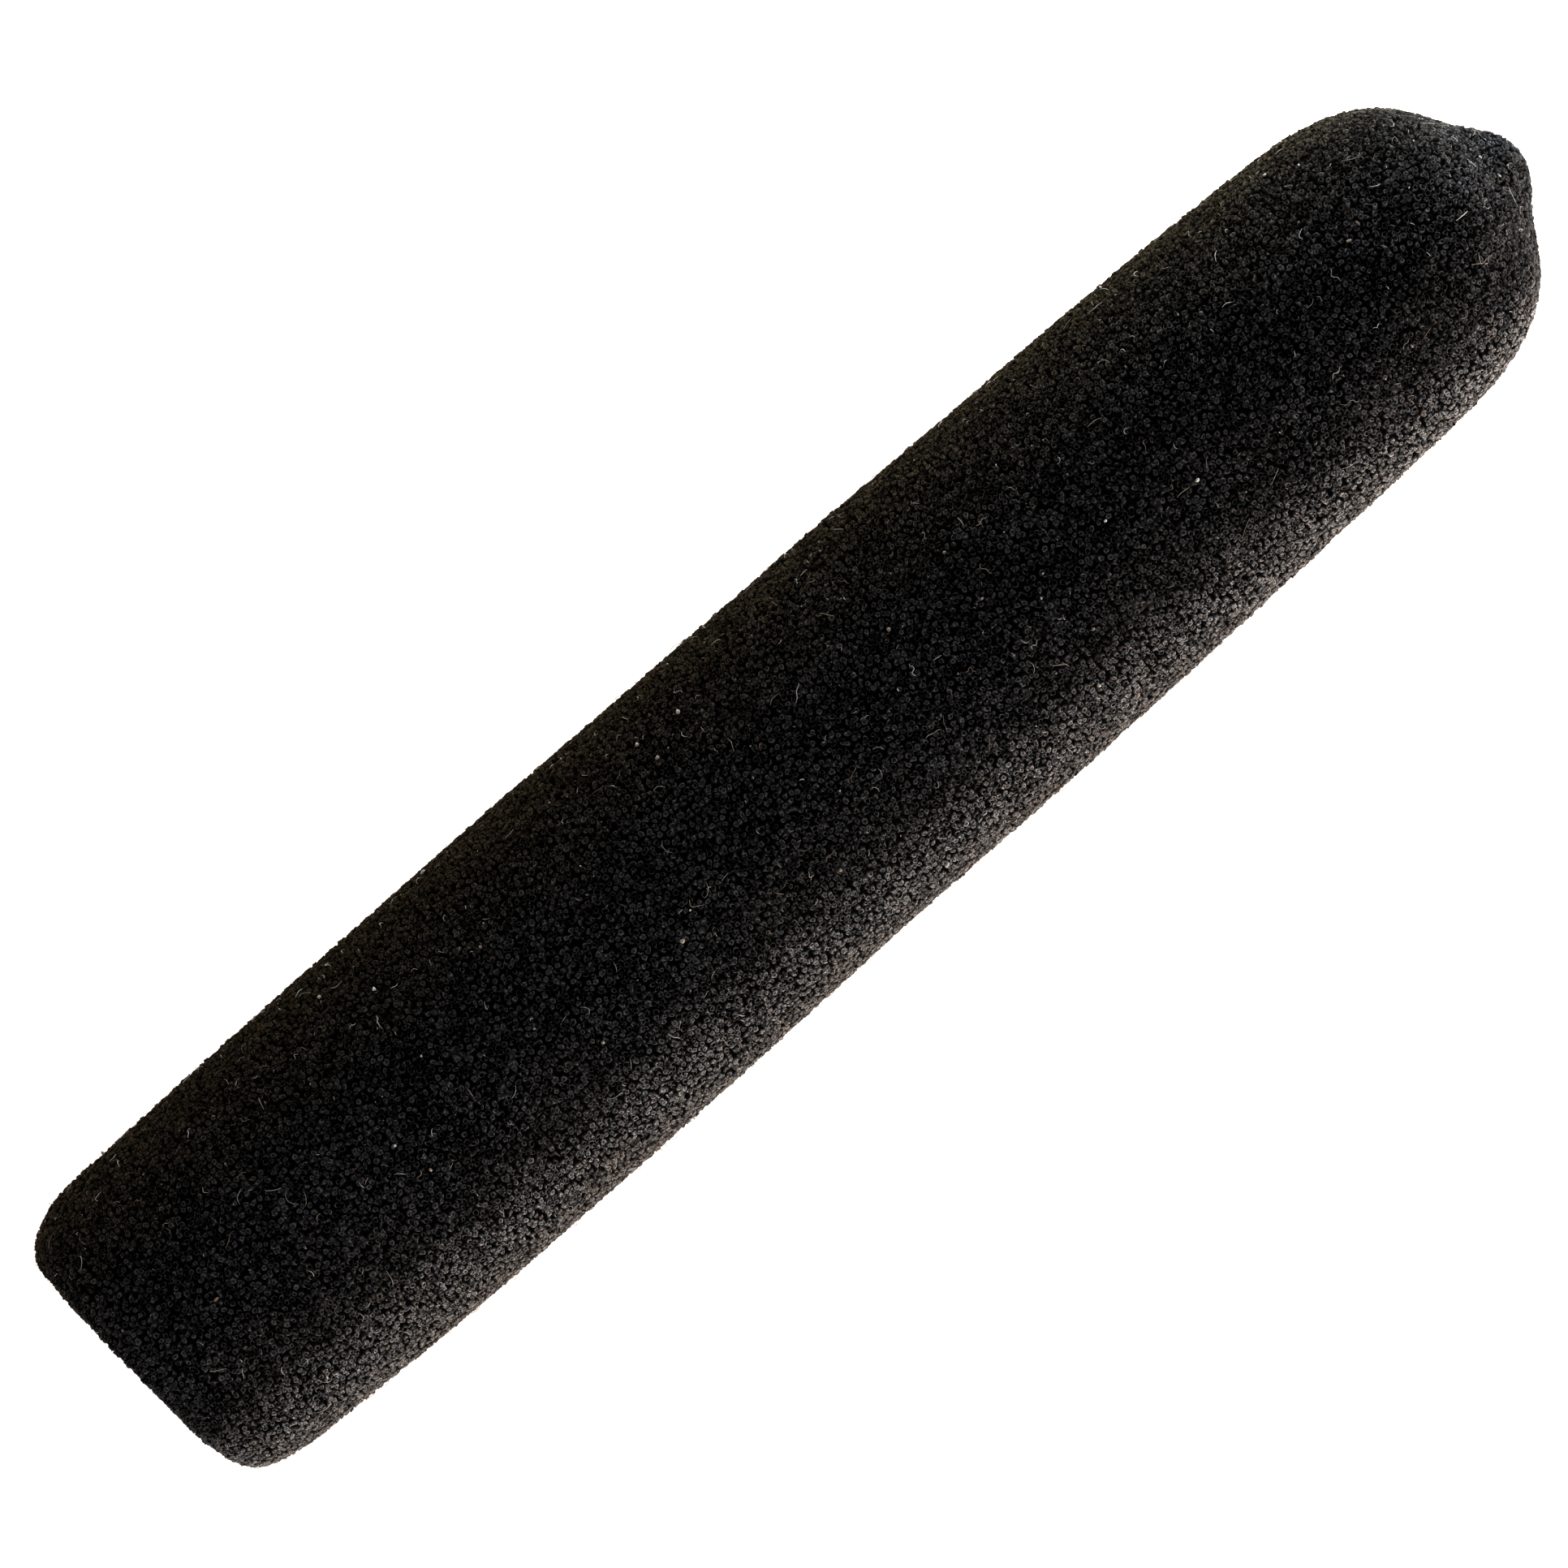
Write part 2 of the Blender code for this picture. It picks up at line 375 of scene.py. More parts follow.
def pored_skin(section, pitch_at, relief_at, settled, foam, seed):
    """A closed foam surface with one bubble for each cell of a net.

    Each bubble has a rim at the surface. A film closes most rims and sags a little in the middle,
    and the others open into a deep pore. Where bubbles meet, over the middles of the net's
    triangles, there is either a deep gap between their rims or a web that joins them. No point
    is under the floor, on which the foam lies pressed flat. Returns points, four-sided and
    three-sided faces, and two numbers for each point: its hollow, from 0 on a rim to 1 at the
    bottom of a pore or gap, and its tone, which is mostly its own on a rim and its bubble's inside.
    """
    chance = np.random.default_rng(seed)
    reach, turn, triangles = cell_net(section, pitch_at, chance)
    cells, joints, corners = len(reach), len(triangles), triangles.size
    pitch = pitch_at(reach)
    relief = relief_at(reach) * pitch
    girth = 2 * np.pi * np.maximum(section.at(reach)[1], pitch)
    off_pole = (reach > 0) & (reach < section.length)
    loose = foam.unevenness * relief * off_pole
    reach = reach + loose * chance.uniform(-1, 1, cells)
    turn = turn + loose / girth * chance.uniform(-1, 1, cells)
    centre, facing = section.place(reach, turn)
    if settled:
        centre = settle(centre, facing)
    crowding = 0.5 * swells(centre, CROWD_SIZES[0], seed + 1)
    crowding += 0.5 * swells(centre, CROWD_SIZES[1], seed + 2)

    # Gaps and webs between bubbles
    web_facing = facing[triangles].mean(axis=1)
    web_facing /= np.linalg.norm(web_facing, axis=1, keepdims=True)
    is_gap = chance.uniform(0, 1, joints) < foam.gap_share
    gap = np.where(is_gap, foam.gap_depth, WEB_DEPTH) * chance.uniform(*GAP_RANGE, joints)
    gap *= relief[triangles].mean(axis=1)
    middle = centre[triangles].mean(axis=1)
    web = middle - web_facing * gap[:, None]

    # Bubbles stand a little higher or lower, and are open or closed by a film
    is_open = chance.uniform(0, 1, cells) < foam.open_share - CROWD_EFFECT * crowding
    height = foam.height_spread * relief * chance.normal(size=cells).clip(-NORMAL_CLIP, NORMAL_CLIP)
    width = pitch * chance.uniform(*foam.rim_range, cells)
    depth = np.where(is_open, foam.pore_depth, foam.film_sag) * relief
    depth *= chance.uniform(*SINK_RANGE, cells)
    link = corner_links(triangles, cells)
    cell = triangles.ravel()
    joint = np.repeat(np.arange(joints), 3)
    outward = middle[joint] - centre[cell]
    outward -= facing[cell] * (outward * facing[cell]).sum(axis=1, keepdims=True)
    spread = np.linalg.norm(outward, axis=1, keepdims=True)
    heading = outward / np.maximum(spread, 1e-9)
    rim_reach = np.minimum(width[cell][:, None], spread * (1 - foam.web_share))
    rim_reach = rim_reach * chance.uniform(1 - foam.raggedness, 1, (corners, 1))
    top = centre + facing * height[:, None]
    jag = foam.raggedness * JAG * relief[cell]
    jag *= chance.normal(size=corners).clip(-NORMAL_CLIP, NORMAL_CLIP)
    rim = top[cell] + heading * rim_reach + facing[cell] * jag[:, None]
    inner_share = np.where(is_open, *INNER_SHARE)[cell][:, None]
    inner_depth = np.where(is_open, *INNER_SINK)[cell] * depth[cell]
    inner = top[cell] + heading * rim_reach * inner_share - facing[cell] * inner_depth[:, None]
    floor = top - facing * depth[:, None]

    points = np.vstack([web, rim, inner, floor])
    points[:, 2] = np.maximum(points[:, 2], FLOOR_HEIGHT)
    at_rim, at_inner, at_floor = joints, joints + corners, joints + 2 * corners
    own = np.arange(corners)
    outer = np.stack([joint, joint[link], at_rim + link, at_rim + own], axis=1)
    inward = np.stack([at_rim + own, at_rim + link, at_inner + link, at_inner + own], axis=1)
    floors = np.stack([at_inner + own, at_inner + link, at_floor + cell], axis=1)
    hollow = np.concatenate(
        [
            np.where(is_gap, *GAP_HOLLOW),
            np.where(is_open, *RIM_HOLLOW)[cell],
            np.where(is_open, *INNER_HOLLOW)[cell],
            np.where(is_open, *FLOOR_HOLLOW),
        ]
    )
    tone = chance.uniform(0, 1, cells)
    rim_tone = OWN_TONE * tone[cell] + (1 - OWN_TONE) * chance.uniform(0, 1, corners)
    tone = np.concatenate([tone[triangles].mean(axis=1), rim_tone, tone[cell], tone])
    values = {"hollow": hollow, "tone": tone}
    return points, np.vstack([outer, inward]), floors, values


def mesh_piece(name, points, quads, triangles, finish, values=None):
    """A smooth piece at the origin that rides on the body, from whole arrays."""
    mesh = bpy.data.meshes.new(name)
    mesh.vertices.add(len(points))
    mesh.vertices.foreach_set("co", np.asarray(points, np.float32).ravel())
    corners = np.concatenate([quads.ravel(), triangles.ravel()]).astype(np.int32)
    sizes = np.concatenate([np.full(len(quads), 4), np.full(len(triangles), 3)])
    mesh.loops.add(len(corners))
    mesh.loops.foreach_set("vertex_index", corners)
    mesh.polygons.add(len(sizes))
    starts = np.concatenate([[0], np.cumsum(sizes)[:-1]]).astype(np.int32)
    mesh.polygons.foreach_set("loop_start", starts)
    for label, numbers in (values or {}).items():
        layer = mesh.attributes.new(label, "FLOAT", "POINT")
        layer.data.foreach_set("value", np.asarray(numbers, np.float32))
    mesh.update(calc_edges=True)
    mesh.validate()
    mesh.shade_smooth()
    mesh.materials.append(finish)
    piece = bpy.data.objects.new(name, mesh)
    bpy.context.scene.collection.objects.link(piece)
    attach(piece, BODY)
    return piece


# Shaders


class Wire:
    """A socket's value, on which sums add Math nodes."""

    def __init__(self, graph, socket):
        self.graph = graph
        self.socket = socket

    def math(self, operation, *values):
        inputs = dict(enumerate(values))
        return self.graph.node("Math", {"operation": operation}, inputs)

    def __add__(self, other):
        return self.math("ADD", self, other)

    __radd__ = __add__

    def __sub__(self, other):
        return self.math("SUBTRACT", self, other)

    def __rsub__(self, other):
        return self.math("SUBTRACT", other, self)

    def __mul__(self, other):
        return self.math("MULTIPLY", self, other)

    __rmul__ = __mul__

    def clamped(self):
        return self.graph.node("Clamp", {}, {"Value": self})


class Graph:
    """The nodes of one material or world."""

    def __init__(self, owner):
        owner.use_nodes = True
        self.owner = owner
        self.tree = owner.node_tree

    def feed(self, socket, value):
        if isinstance(value, Wire):
            self.tree.links.new(value.socket, socket)
        else:
            socket.default_value = value

    def node(self, kind, settings, inputs, output=0):
        """Adds a node: its settings first, then its sockets' values or links."""
        added = self.tree.nodes.new("ShaderNode" + kind)
        for name, value in settings.items():
            if name == "stops":
                self.set_stops(added.color_ramp, value)
            else:
                setattr(added, name, value)
        for key, value in inputs.items():
            self.feed(added.inputs[key], value)
        return Wire(self, added.outputs[output])

    @staticmethod
    def set_stops(ramp, stops):
        while len(ramp.elements) < len(stops):
            ramp.elements.new(1.0)
        for element, (position, colour) in zip(ramp.elements, stops):
            element.position = position
            element.color = (*colour, 1)

    def shader(self, inputs):
        """Sets the Principled shader's sockets."""
        for key, value in inputs.items():
            self.feed(self.tree.nodes["Principled BSDF"].inputs[key], value)

    def place(self):
        return self.node("TexCoord", {}, {}, "Object")

    def attribute(self, label):
        return self.node("Attribute", {"attribute_name": label}, {}, "Fac")

    def noise(self, size, detail=2.0, roughness=0.5):
        """Noise whose lumps are about size across."""
        inputs = {
            "Vector": self.place(),
            "Scale": 1 / size,
            "Detail": detail,
            "Roughness": roughness,
        }
        return self.node("TexNoise", {}, inputs)

    def mixed(self, share, first, second):
        """The first colour going over to the second."""
        inputs = {0: share, 6: first, 7: second}
        return self.node("Mix", {"data_type": "RGBA"}, inputs, 2)

    def multiplied(self, first, second):
        """Two colours multiplied part by part."""
        inputs = {0: first, 1: second}
        return self.node("VectorMath", {"operation": "MULTIPLY"}, inputs)

    def scaled(self, colour, factor):
        inputs = {0: colour, "Scale": factor}
        return self.node("VectorMath", {"operation": "SCALE"}, inputs)

    def bump(self, height, distance, strength):
        inputs = {"Height": height, "Distance": distance, "Strength": strength}
        return self.node("Bump", {}, inputs)


def opaque(colour):
    return (*colour, 1.0)


def spread_out(graph, value, low, high):
    """value's range from low to high, stretched over 0 to 1."""
    inputs = {"Value": value, "From Min": low, "From Max": high}
    return graph.node("MapRange", {}, inputs)


# The foam's painted shades, the sizes of its patterns, and where across Y its stain, painted shade
# and painted light come in
FLANK_PAINTED_SHADE = 0.40  # painted shade on the struts' flanks, as a share of their colour
DEEP_PAINTED_SHADE = 0.5  # painted shade at the pores' bottoms, as a share of their walls' colour
HUE_SIZE = 0.45 * MM
FLECK_SIZE = 0.16 * MM
PATCH_SIZE = 9 * MM
SPECK_SIZE = 0.5 * MM
GRAIN_SIZE = 0.09 * MM
GRAIN_DEPTH = 0.03 * MM
COOL_HUE = (0.94, 1.0, 1.08)
WARM_HUE = (1.07, 0.98, 0.93)
# Across Y, where a brown stain that also darkens the +Y side as painted shade comes in
STAIN_AND_SHADE_SPAN = (2 * MM, 16 * MM)
# Across Y, where painted light on the -Y side comes in, and where it lessens at the outermost edge
PAINTED_LIGHT_SPAN = (-9.8 * MM, -14.0 * MM)
EDGE_PAINTED_LIGHT_SPAN = (-15 * MM, -17.7 * MM)
UNSTAINED_UNSHADED = (1, 1, 1)
PAINTED_LIGHT_FADE = 2.5  # how fast the painted light fades as the surface gets more hollow


def foam_finish(name, foam, tint):
    """Foam: pale struts, partly painted highlight, over black pores, painted shade, with tones, dust,
    a brown stain with painted shade on the +Y side, painted light on the -Y side, and grain.
    """
    graph = Graph(bpy.data.materials.new(name))
    hollow = graph.attribute("hollow")
    # The colour darkens with hollow: the pale strut tops are partly painted highlight, and the darker
    # flanks and films and the black pores and gaps are painted shade
    stops = [
        (0.0, [tint * part for part in foam.strut_colour_and_highlight]),
        (0.10, [tint * part * FLANK_PAINTED_SHADE for part in foam.strut_colour_and_highlight]),
        (0.20, [tint * part for part in foam.film_colour]),
        (0.45, [tint * part for part in foam.pit_colour_and_shade]),
        (1.0, [tint * part * DEEP_PAINTED_SHADE for part in foam.pit_colour_and_shade]),
    ]
    bare = graph.node("ValToRGB", {"stops": stops}, {"Fac": hollow})
    hue = spread_out(graph, graph.noise(HUE_SIZE, 1), 0.35, 0.65)
    tone = 1 + foam.tone_spread * (2 * graph.attribute("tone") - 1)
    fleck = 0.35 + 1.3 * spread_out(graph, graph.noise(FLECK_SIZE, 1), 0.3, 0.7)
    own_hue = graph.mixed(hue, opaque(COOL_HUE), opaque(WARM_HUE))
    bare = graph.scaled(graph.multiplied(bare, own_hue), tone * fleck)
    patches = spread_out(graph, graph.noise(PATCH_SIZE, 4, 0.6), 0.45, 0.75)
    specks = spread_out(graph, graph.noise(SPECK_SIZE, 2), 0.45, 0.70)
    dust = (patches * specks * (1 - hollow) * foam.dust_share).clamped()
    dusty = graph.mixed(dust, bare, opaque(foam.dust_colour))
    across = graph.node("SeparateXYZ", {}, {0: graph.place()}, "Y")
    # Towards +Y: a brown stain, which also darkens that side as painted shade
    stained_and_shaded = spread_out(graph, across, *STAIN_AND_SHADE_SPAN)
    # Towards -Y: painted light, strongest on the raised parts and a little less at the outermost edge
    raised = (1 - PAINTED_LIGHT_FADE * hollow).clamped()
    painted_lit = raised * spread_out(graph, across, *PAINTED_LIGHT_SPAN)
    outermost = spread_out(graph, across, *EDGE_PAINTED_LIGHT_SPAN)
    painted_side_light = graph.mixed(outermost, opaque(foam.painted_light_colour), opaque(foam.edge_painted_light_colour))
    # The +Y stain with its painted shade, then the -Y painted light, in one factor
    stain_painted_shade_and_light = graph.mixed(stained_and_shaded, opaque(UNSTAINED_UNSHADED), opaque(foam.stain_and_shade_colour))
    stain_painted_shade_and_light = graph.mixed(painted_lit, stain_painted_shade_and_light, painted_side_light)
    colour = graph.multiplied(dusty, stain_painted_shade_and_light)
    grain = graph.noise(GRAIN_SIZE, 3, 0.6)
    graph.shader(
        {
            "Base Color": colour,
            "Roughness": (0.50 + hollow * 0.35 + grain * 0.15).clamped(),
            "Specular IOR Level": 0.01,
            "Normal": graph.bump(grain, GRAIN_DEPTH, 0.5),
        }
    )
    return graph.owner


BLOOM_SIZE = 2.5 * MM
BLOOM_COLOUR = (0.055, 0.054, 0.052)
RUBBER_GRAIN_SIZE = 0.12 * MM
RUBBER_GRAIN_DEPTH = 0.04 * MM
GLOSS_SIZE = 0.9 * MM


def rubber_finish(name, colour):
    """Black rubber: a fine moulded grain, a little bloom and uneven gloss."""
    graph = Graph(bpy.data.materials.new(name))
    bloom = spread_out(graph, graph.noise(BLOOM_SIZE, 4, 0.6), 0.5, 0.8)
    grain = graph.noise(RUBBER_GRAIN_SIZE, 3)
    gloss = graph.noise(GLOSS_SIZE, 3)
    graph.shader(
        {
            "Base Color": graph.mixed(bloom * 0.5, opaque(colour), opaque(BLOOM_COLOUR)),
            "Roughness": (0.42 + gloss * 0.25 + bloom * 0.15).clamped(),
            "Normal": graph.bump(grain, RUBBER_GRAIN_DEPTH, 0.4),
        }
    )
    return graph.owner


LINT_STAIN_SIZE = 0.3 * MM


def lint_finish(name, lint):
    """Lint: every fibre and crumb its own shade from white to brown, darker in places."""
    graph = Graph(bpy.data.materials.new(name))
    stops = [
        (0.0, lint.white_colour),
        (0.45, lint.beige_colour),
        (0.8, lint.tan_colour),
        (1.0, lint.brown_colour),
    ]
    shade = graph.node("ValToRGB", {"stops": stops}, {"Fac": graph.attribute("shade")})
    stain_painted_shade_and_light = graph.noise(LINT_STAIN_SIZE, 2)
    graph.shader(
        {
            "Base Color": graph.mixed(stain_painted_shade_and_light * 0.4, shade, opaque(lint.brown_colour)),
            "Roughness": (0.6 + stain_painted_shade_and_light * 0.3).clamped(),
            "Sheen Weight": 0.2,
        }
    )
    return graph.owner


# Settings


class FoamSettings(bpy.types.PropertyGroup):
    cell_pitch: FloatProperty(
        name="Cell pitch",
        description="Distance between the middles of neighbouring cells",
        default=0.70 * MM,
        precision=5,
        unit="LENGTH",
    )
    open_share: FloatProperty(
        name="Open share",
        description="Share of the bubbles that open into a pore",
        default=0.4,
        subtype="FACTOR",
    )
    unevenness: FloatProperty(
        name="Unevenness",
        description="How far a bubble may stand from its even place, as a share of the pitch",
        default=0.48,
        subtype="FACTOR",
    )
    height_spread: FloatProperty(
        name="Height spread",
        description="How far bubbles stand up or down, as a share of the pitch",
        default=0.09,
        subtype="FACTOR",
    )
    raggedness: FloatProperty(
        name="Raggedness",
        description="How far a bubble's rim may draw in from its circle, as a share of its radius",
        default=0.35,
        subtype="FACTOR",
    )
    tone_spread: FloatProperty(
        name="Tone spread",
        description="How much the bubbles differ in brightness",
        default=0.9,
        subtype="FACTOR",
    )
    web_share: FloatProperty(
        name="Web share",
        description="Least share of a bubble, from its border inwards, outside its rim",
        default=0.12,
        subtype="FACTOR",
    )
    gap_share: FloatProperty(
        name="Gap share",
        description="Share of the places between bubbles that are deep gaps",
        default=0.7,
        subtype="FACTOR",
    )
    gap_depth: FloatProperty(
        name="Gap depth",
        description="Depth of a gap between bubbles, as a share of the pitch",
        default=0.8,
        subtype="FACTOR",
    )
    pore_depth: FloatProperty(
        name="Pore depth",
        description="Depth of an open pore, as a share of the pitch",
        default=1.0,
        subtype="FACTOR",
    )
    film_sag: FloatProperty(
        name="Film sag",
        description="How far a closed bubble's film sags, as a share of the pitch",
        default=0.28,
        subtype="FACTOR",
    )
    rim_range: FloatVectorProperty(
        name="Rim range",
        description="Smallest and largest radius of a bubble's rim, as shares of the pitch",
        default=(0.32, 0.52),
        size=2,
    )
    dust_share: FloatProperty(
        name="Dust share",
        description="How much of the dust's colour shows where it is thickest",
        default=0.5,
        subtype="FACTOR",
    )
    # The struts' pale grey is partly their own colour and partly painted highlight
    strut_colour_and_highlight: FloatVectorProperty(
        name="Strut colour",
        description="Colour of the struts between the pores",
        default=(0.100, 0.099, 0.099),
        subtype="COLOR",
    )
    film_colour: FloatVectorProperty(
        name="Film colour",
        description="Colour of the films that close some pores",
        default=(0.0210, 0.0210, 0.0220),
        subtype="COLOR",
    )
    # Near black: the pores' own colour darkened as painted shade
    pit_colour_and_shade: FloatVectorProperty(
        name="Pit colour",
        description="Colour of the open pores' walls",
        default=(0.0008, 0.0008, 0.0009),
        subtype="COLOR",
    )
    # A brown stain that also darkens the +Y side as painted shade
    stain_and_shade_colour: FloatVectorProperty(
        name="Stain colour",
        description="What the foam's colour is multiplied by on its stained +Y side",
        default=(0.58, 0.45, 0.24),
        subtype="COLOR",
    )
    # Painted light: multiplies the -Y side's colour by more than three
    painted_light_colour: FloatVectorProperty(
        name="Bleach colour",
        description="What the foam's colour is multiplied by on its bleached -Y side",
        default=(3.45, 3.36, 3.28),
        subtype="COLOR",
        soft_max=5,
    )
    # Painted light where the -Y side is outermost, a little less than on the rest of that side
    edge_painted_light_colour: FloatVectorProperty(
        name="Edge colour",
        description="What the foam's colour is multiplied by where the -Y side is outermost",
        default=(2.75, 2.56, 2.39),
        subtype="COLOR",
        soft_max=5,
    )
    dust_colour: FloatVectorProperty(
        name="Dust colour",
        description="Colour of the dust on the struts",
        default=(0.050, 0.038, 0.028),
        subtype="COLOR",
    )


class RingSettings(bpy.types.PropertyGroup):
    rib_count: IntProperty(
        name="Rib count",
        description="Number of ribs towards the bore",
        default=3,
    )
    rib_height: FloatProperty(
        name="Rib height",
        description="Height of a rib above the hollows beside it",
        default=0.6 * MM,
        precision=5,
        unit="LENGTH",
    )
    rib_stand: FloatProperty(
        name="Rib stand",
        description="How far the ribs' crests stand into the bore",
        default=0.3 * MM,
        precision=5,
        unit="LENGTH",
    )
    colour: FloatVectorProperty(
        name="Colour",
        description="Colour of the rubber",
        default=(0.020, 0.020, 0.021),
        subtype="COLOR",
    )


class LintSettings(bpy.types.PropertyGroup):
    fibre_count: IntProperty(
        name="Fibre count",
        description="Number of fibres caught on the foam",
        default=1500,
    )
    crumb_count: IntProperty(
        name="Crumb count",
        description="Number of crumbs caught on the foam",
        default=320,
    )
    fibre_radius: FloatProperty(
        name="Fibre radius",
        description="Radius of a fibre's middle",
        default=0.021 * MM,
        precision=6,
        unit="LENGTH",
    )
    longest: FloatProperty(
        name="Longest",
        description="Length of the longest fibres",
        default=2.3 * MM,
        precision=5,
        unit="LENGTH",
    )
    white_colour: FloatVectorProperty(
        name="White",
        description="Colour of the palest lint",
        default=(0.82, 0.80, 0.76),
        subtype="COLOR",
    )
    beige_colour: FloatVectorProperty(
        name="Beige",
        description="Colour of pale lint",
        default=(0.46, 0.40, 0.32),
        subtype="COLOR",
    )
    tan_colour: FloatVectorProperty(
        name="Tan",
        description="Colour of darker lint",
        default=(0.24, 0.15, 0.08),
        subtype="COLOR",
    )
    brown_colour: FloatVectorProperty(
        name="Brown",
        description="Colour of the darkest lint",
        default=(0.09, 0.055, 0.03),
        subtype="COLOR",
    )


class StageSettings(bpy.types.PropertyGroup):
    view_width: FloatProperty(
        name="View width",
        description="What the camera sees from side to side, level with the axis",
        default=153.1 * MM,
        unit="LENGTH",
    )
    camera_height: FloatProperty(
        name="Camera height",
        description="Height of the camera above the axis",
        default=1.6,
        unit="LENGTH",
    )
    camera_turn: FloatProperty(
        name="Camera turn",
        description="Turn of the picture about the vertical",
        default=math.radians(-41.267),
        unit="ROTATION",
    )
    floor_colour: FloatVectorProperty(
        name="Floor glow",
        description="Light that the pale floor gives back from under it",
        default=(1.08, 0.95, 0.87),
        subtype="COLOR",
        soft_max=2,
    )
    near_colour: FloatVectorProperty(
        name="Near floor glow",
        description="Light that the floor gives back on the -Y side",
        default=(1.15, 1.0, 0.9),
        subtype="COLOR",
        soft_max=5,
    )
    side_power: FloatProperty(
        name="Side light",
        description="Power of the soft light on the -Y side",
        default=12.2,
        unit="POWER",
    )
    fill_power: FloatProperty(
        name="Fill light",
        description="Power of the warm light on the +Y side",
        default=0.1,
        unit="POWER",
    )
    nose_power: FloatProperty(
        name="Nose light",
        description="Power of the cool light beside the nose",
        default=0.20,
        unit="POWER",
    )
    shoulder_power: FloatProperty(
        name="Shoulder light",
        description="Power of the light on the nose's shoulder on the -Y side",
        default=0.10,
        unit="POWER",
    )
    nose_gain: FloatProperty(
        name="Nose gain",
        description="How much more light the floor gives back round the nose",
        default=2.2,
        subtype="FACTOR",
        soft_max=3,
    )


# Pieces

FINE_DEPTH = 24 * MM  # how deep in the bore the cells keep their size
COARSE_DEPTH = 60 * MM  # from where on they are coarse
COARSE_CELLS = 3  # size of the coarse cells, as a multiple of the others'
SMOOTH_REACH = 0.8 * MM  # from the groove, over which the relief comes back
BORE_SLACK = 0.1 * MM  # past the groove's radius, still counted as bore
PAD_CELLS = 1.1  # size of the pad's cells, as a multiple of the body's
FOAM_TINT = 1.0
PAD_TINT = 2.6
FOAM_SEED, PAD_SEED, FIBRE_SEED, CRUMB_SEED = 11, 23, 31, 37


class WINDSCREEN_OT_foam_body(bpy.types.Operator):
    """Builds the moulded foam with its pores, inside and out"""

    bl_idname = "windscreen.foam_body"
    bl_label = "Foam body"

    def execute(self, context):
        foam = context.scene.windscreen_foam
        section = foam_section()
        mouth_reach = section.length - BORE_DEPTH - BORE_RADIUS

        def pitch_at(reach):
            """The cells' pitch, which grows evenly with depth over a stretch of the bore."""
            stretch = [FINE_DEPTH, COARSE_DEPTH]
            coarser = np.interp(reach - mouth_reach, stretch, [1, COARSE_CELLS])
            return foam.cell_pitch * coarser

        def relief_at(reach):
            """1 for full relief, falling evenly to 0 at the ring's groove."""
            along, radius = section.at(reach)
            from_groove = np.maximum(GROOVE_START - along, along - GROOVE_END)
            near = np.clip(from_groove / SMOOTH_REACH, 0, 1)
            return np.where(radius < SEAT_RADIUS + BORE_SLACK, near, 1)

        points, quads, triangles, values = pored_skin(
            section, pitch_at, relief_at, True, foam, FOAM_SEED
        )
        finish = foam_finish("black_foam_skin", foam, FOAM_TINT)
        piece = mesh_piece("foam_skin", points, quads, triangles, finish, values)
        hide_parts("foam_body")
        return {"FINISHED"}


class WINDSCREEN_OT_front_pad(bpy.types.Operator):
    """Builds the soft disc at the bore's end"""

    bl_idname = "windscreen.front_pad"
    bl_label = "Front pad"

    def execute(self, context):
        foam = context.scene.windscreen_foam

        def pitch_at(reach):
            return np.full_like(reach, foam.cell_pitch * PAD_CELLS)

        def relief_at(reach):
            return np.ones_like(reach)

        points, quads, triangles, values = pored_skin(
            pad_section(), pitch_at, relief_at, False, foam, PAD_SEED
        )
        finish = foam_finish("grey_foam_skin", foam, PAD_TINT)
        piece = mesh_piece("pad_skin", points, quads, triangles, finish, values)
        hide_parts("front_pad")
        return {"FINISHED"}


class WINDSCREEN_OT_grip_ring(bpy.types.Operator):
    """Builds the ribbed rubber ring in the bore's groove"""

    bl_idname = "windscreen.grip_ring"
    bl_label = "Grip ring"

    def execute(self, context):
        ring = context.scene.windscreen_ring
        points, quads = ribbed_ring(ring)
        finish = rubber_finish("black_rubber_grain", ring.colour)
        none = np.zeros((0, 3), int)
        piece = mesh_piece("ribbed_ring", points, quads, none, finish)
        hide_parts("grip_ring")
        return {"FINISHED"}


RING_CORNER = 0.35 * MM


def ribbed_ring(ring, around=128, steps=24, round_steps=6):
    """The ring's section turned about the axis.

    Towards the bore the section's radius follows a cosine with one period for each rib. The back
    is flat, and its two corners are quarter circles.
    """
    width = RING_HIGH.x - RING_LOW.x
    start = RING_LOW.x - MOUTH_X
    share = np.linspace(0, 1, ring.rib_count * steps + 1)
    wave = (1 + np.cos(2 * np.pi * ring.rib_count * share)) / 2
    crest = BORE_RADIUS - ring.rib_stand
    ribs = np.stack([start + share * width, crest + ring.rib_height * wave], axis=1)
    far_centre = (start + width - RING_CORNER, RING_RADIUS - RING_CORNER)
    near_centre = (start + RING_CORNER, RING_RADIUS - RING_CORNER)
    far = quarter_round(far_centre, RING_CORNER, 0, 1, round_steps)
    near = quarter_round(near_centre, RING_CORNER, 1, 2, round_steps)
    outline = np.vstack([ribs, far, near])
    angle = np.arange(around) * 2 * np.pi / around
    along = np.tile(outline[:, 0], (around, 1))
    across = np.cos(angle)[:, None] * outline[:, 1]
    up = np.sin(angle)[:, None] * outline[:, 1]
    points = np.stack([MOUTH_X + along, across, AXIS_HEIGHT + up], axis=-1).reshape(-1, 3)
    return points, closed_grid(around, len(outline), True)


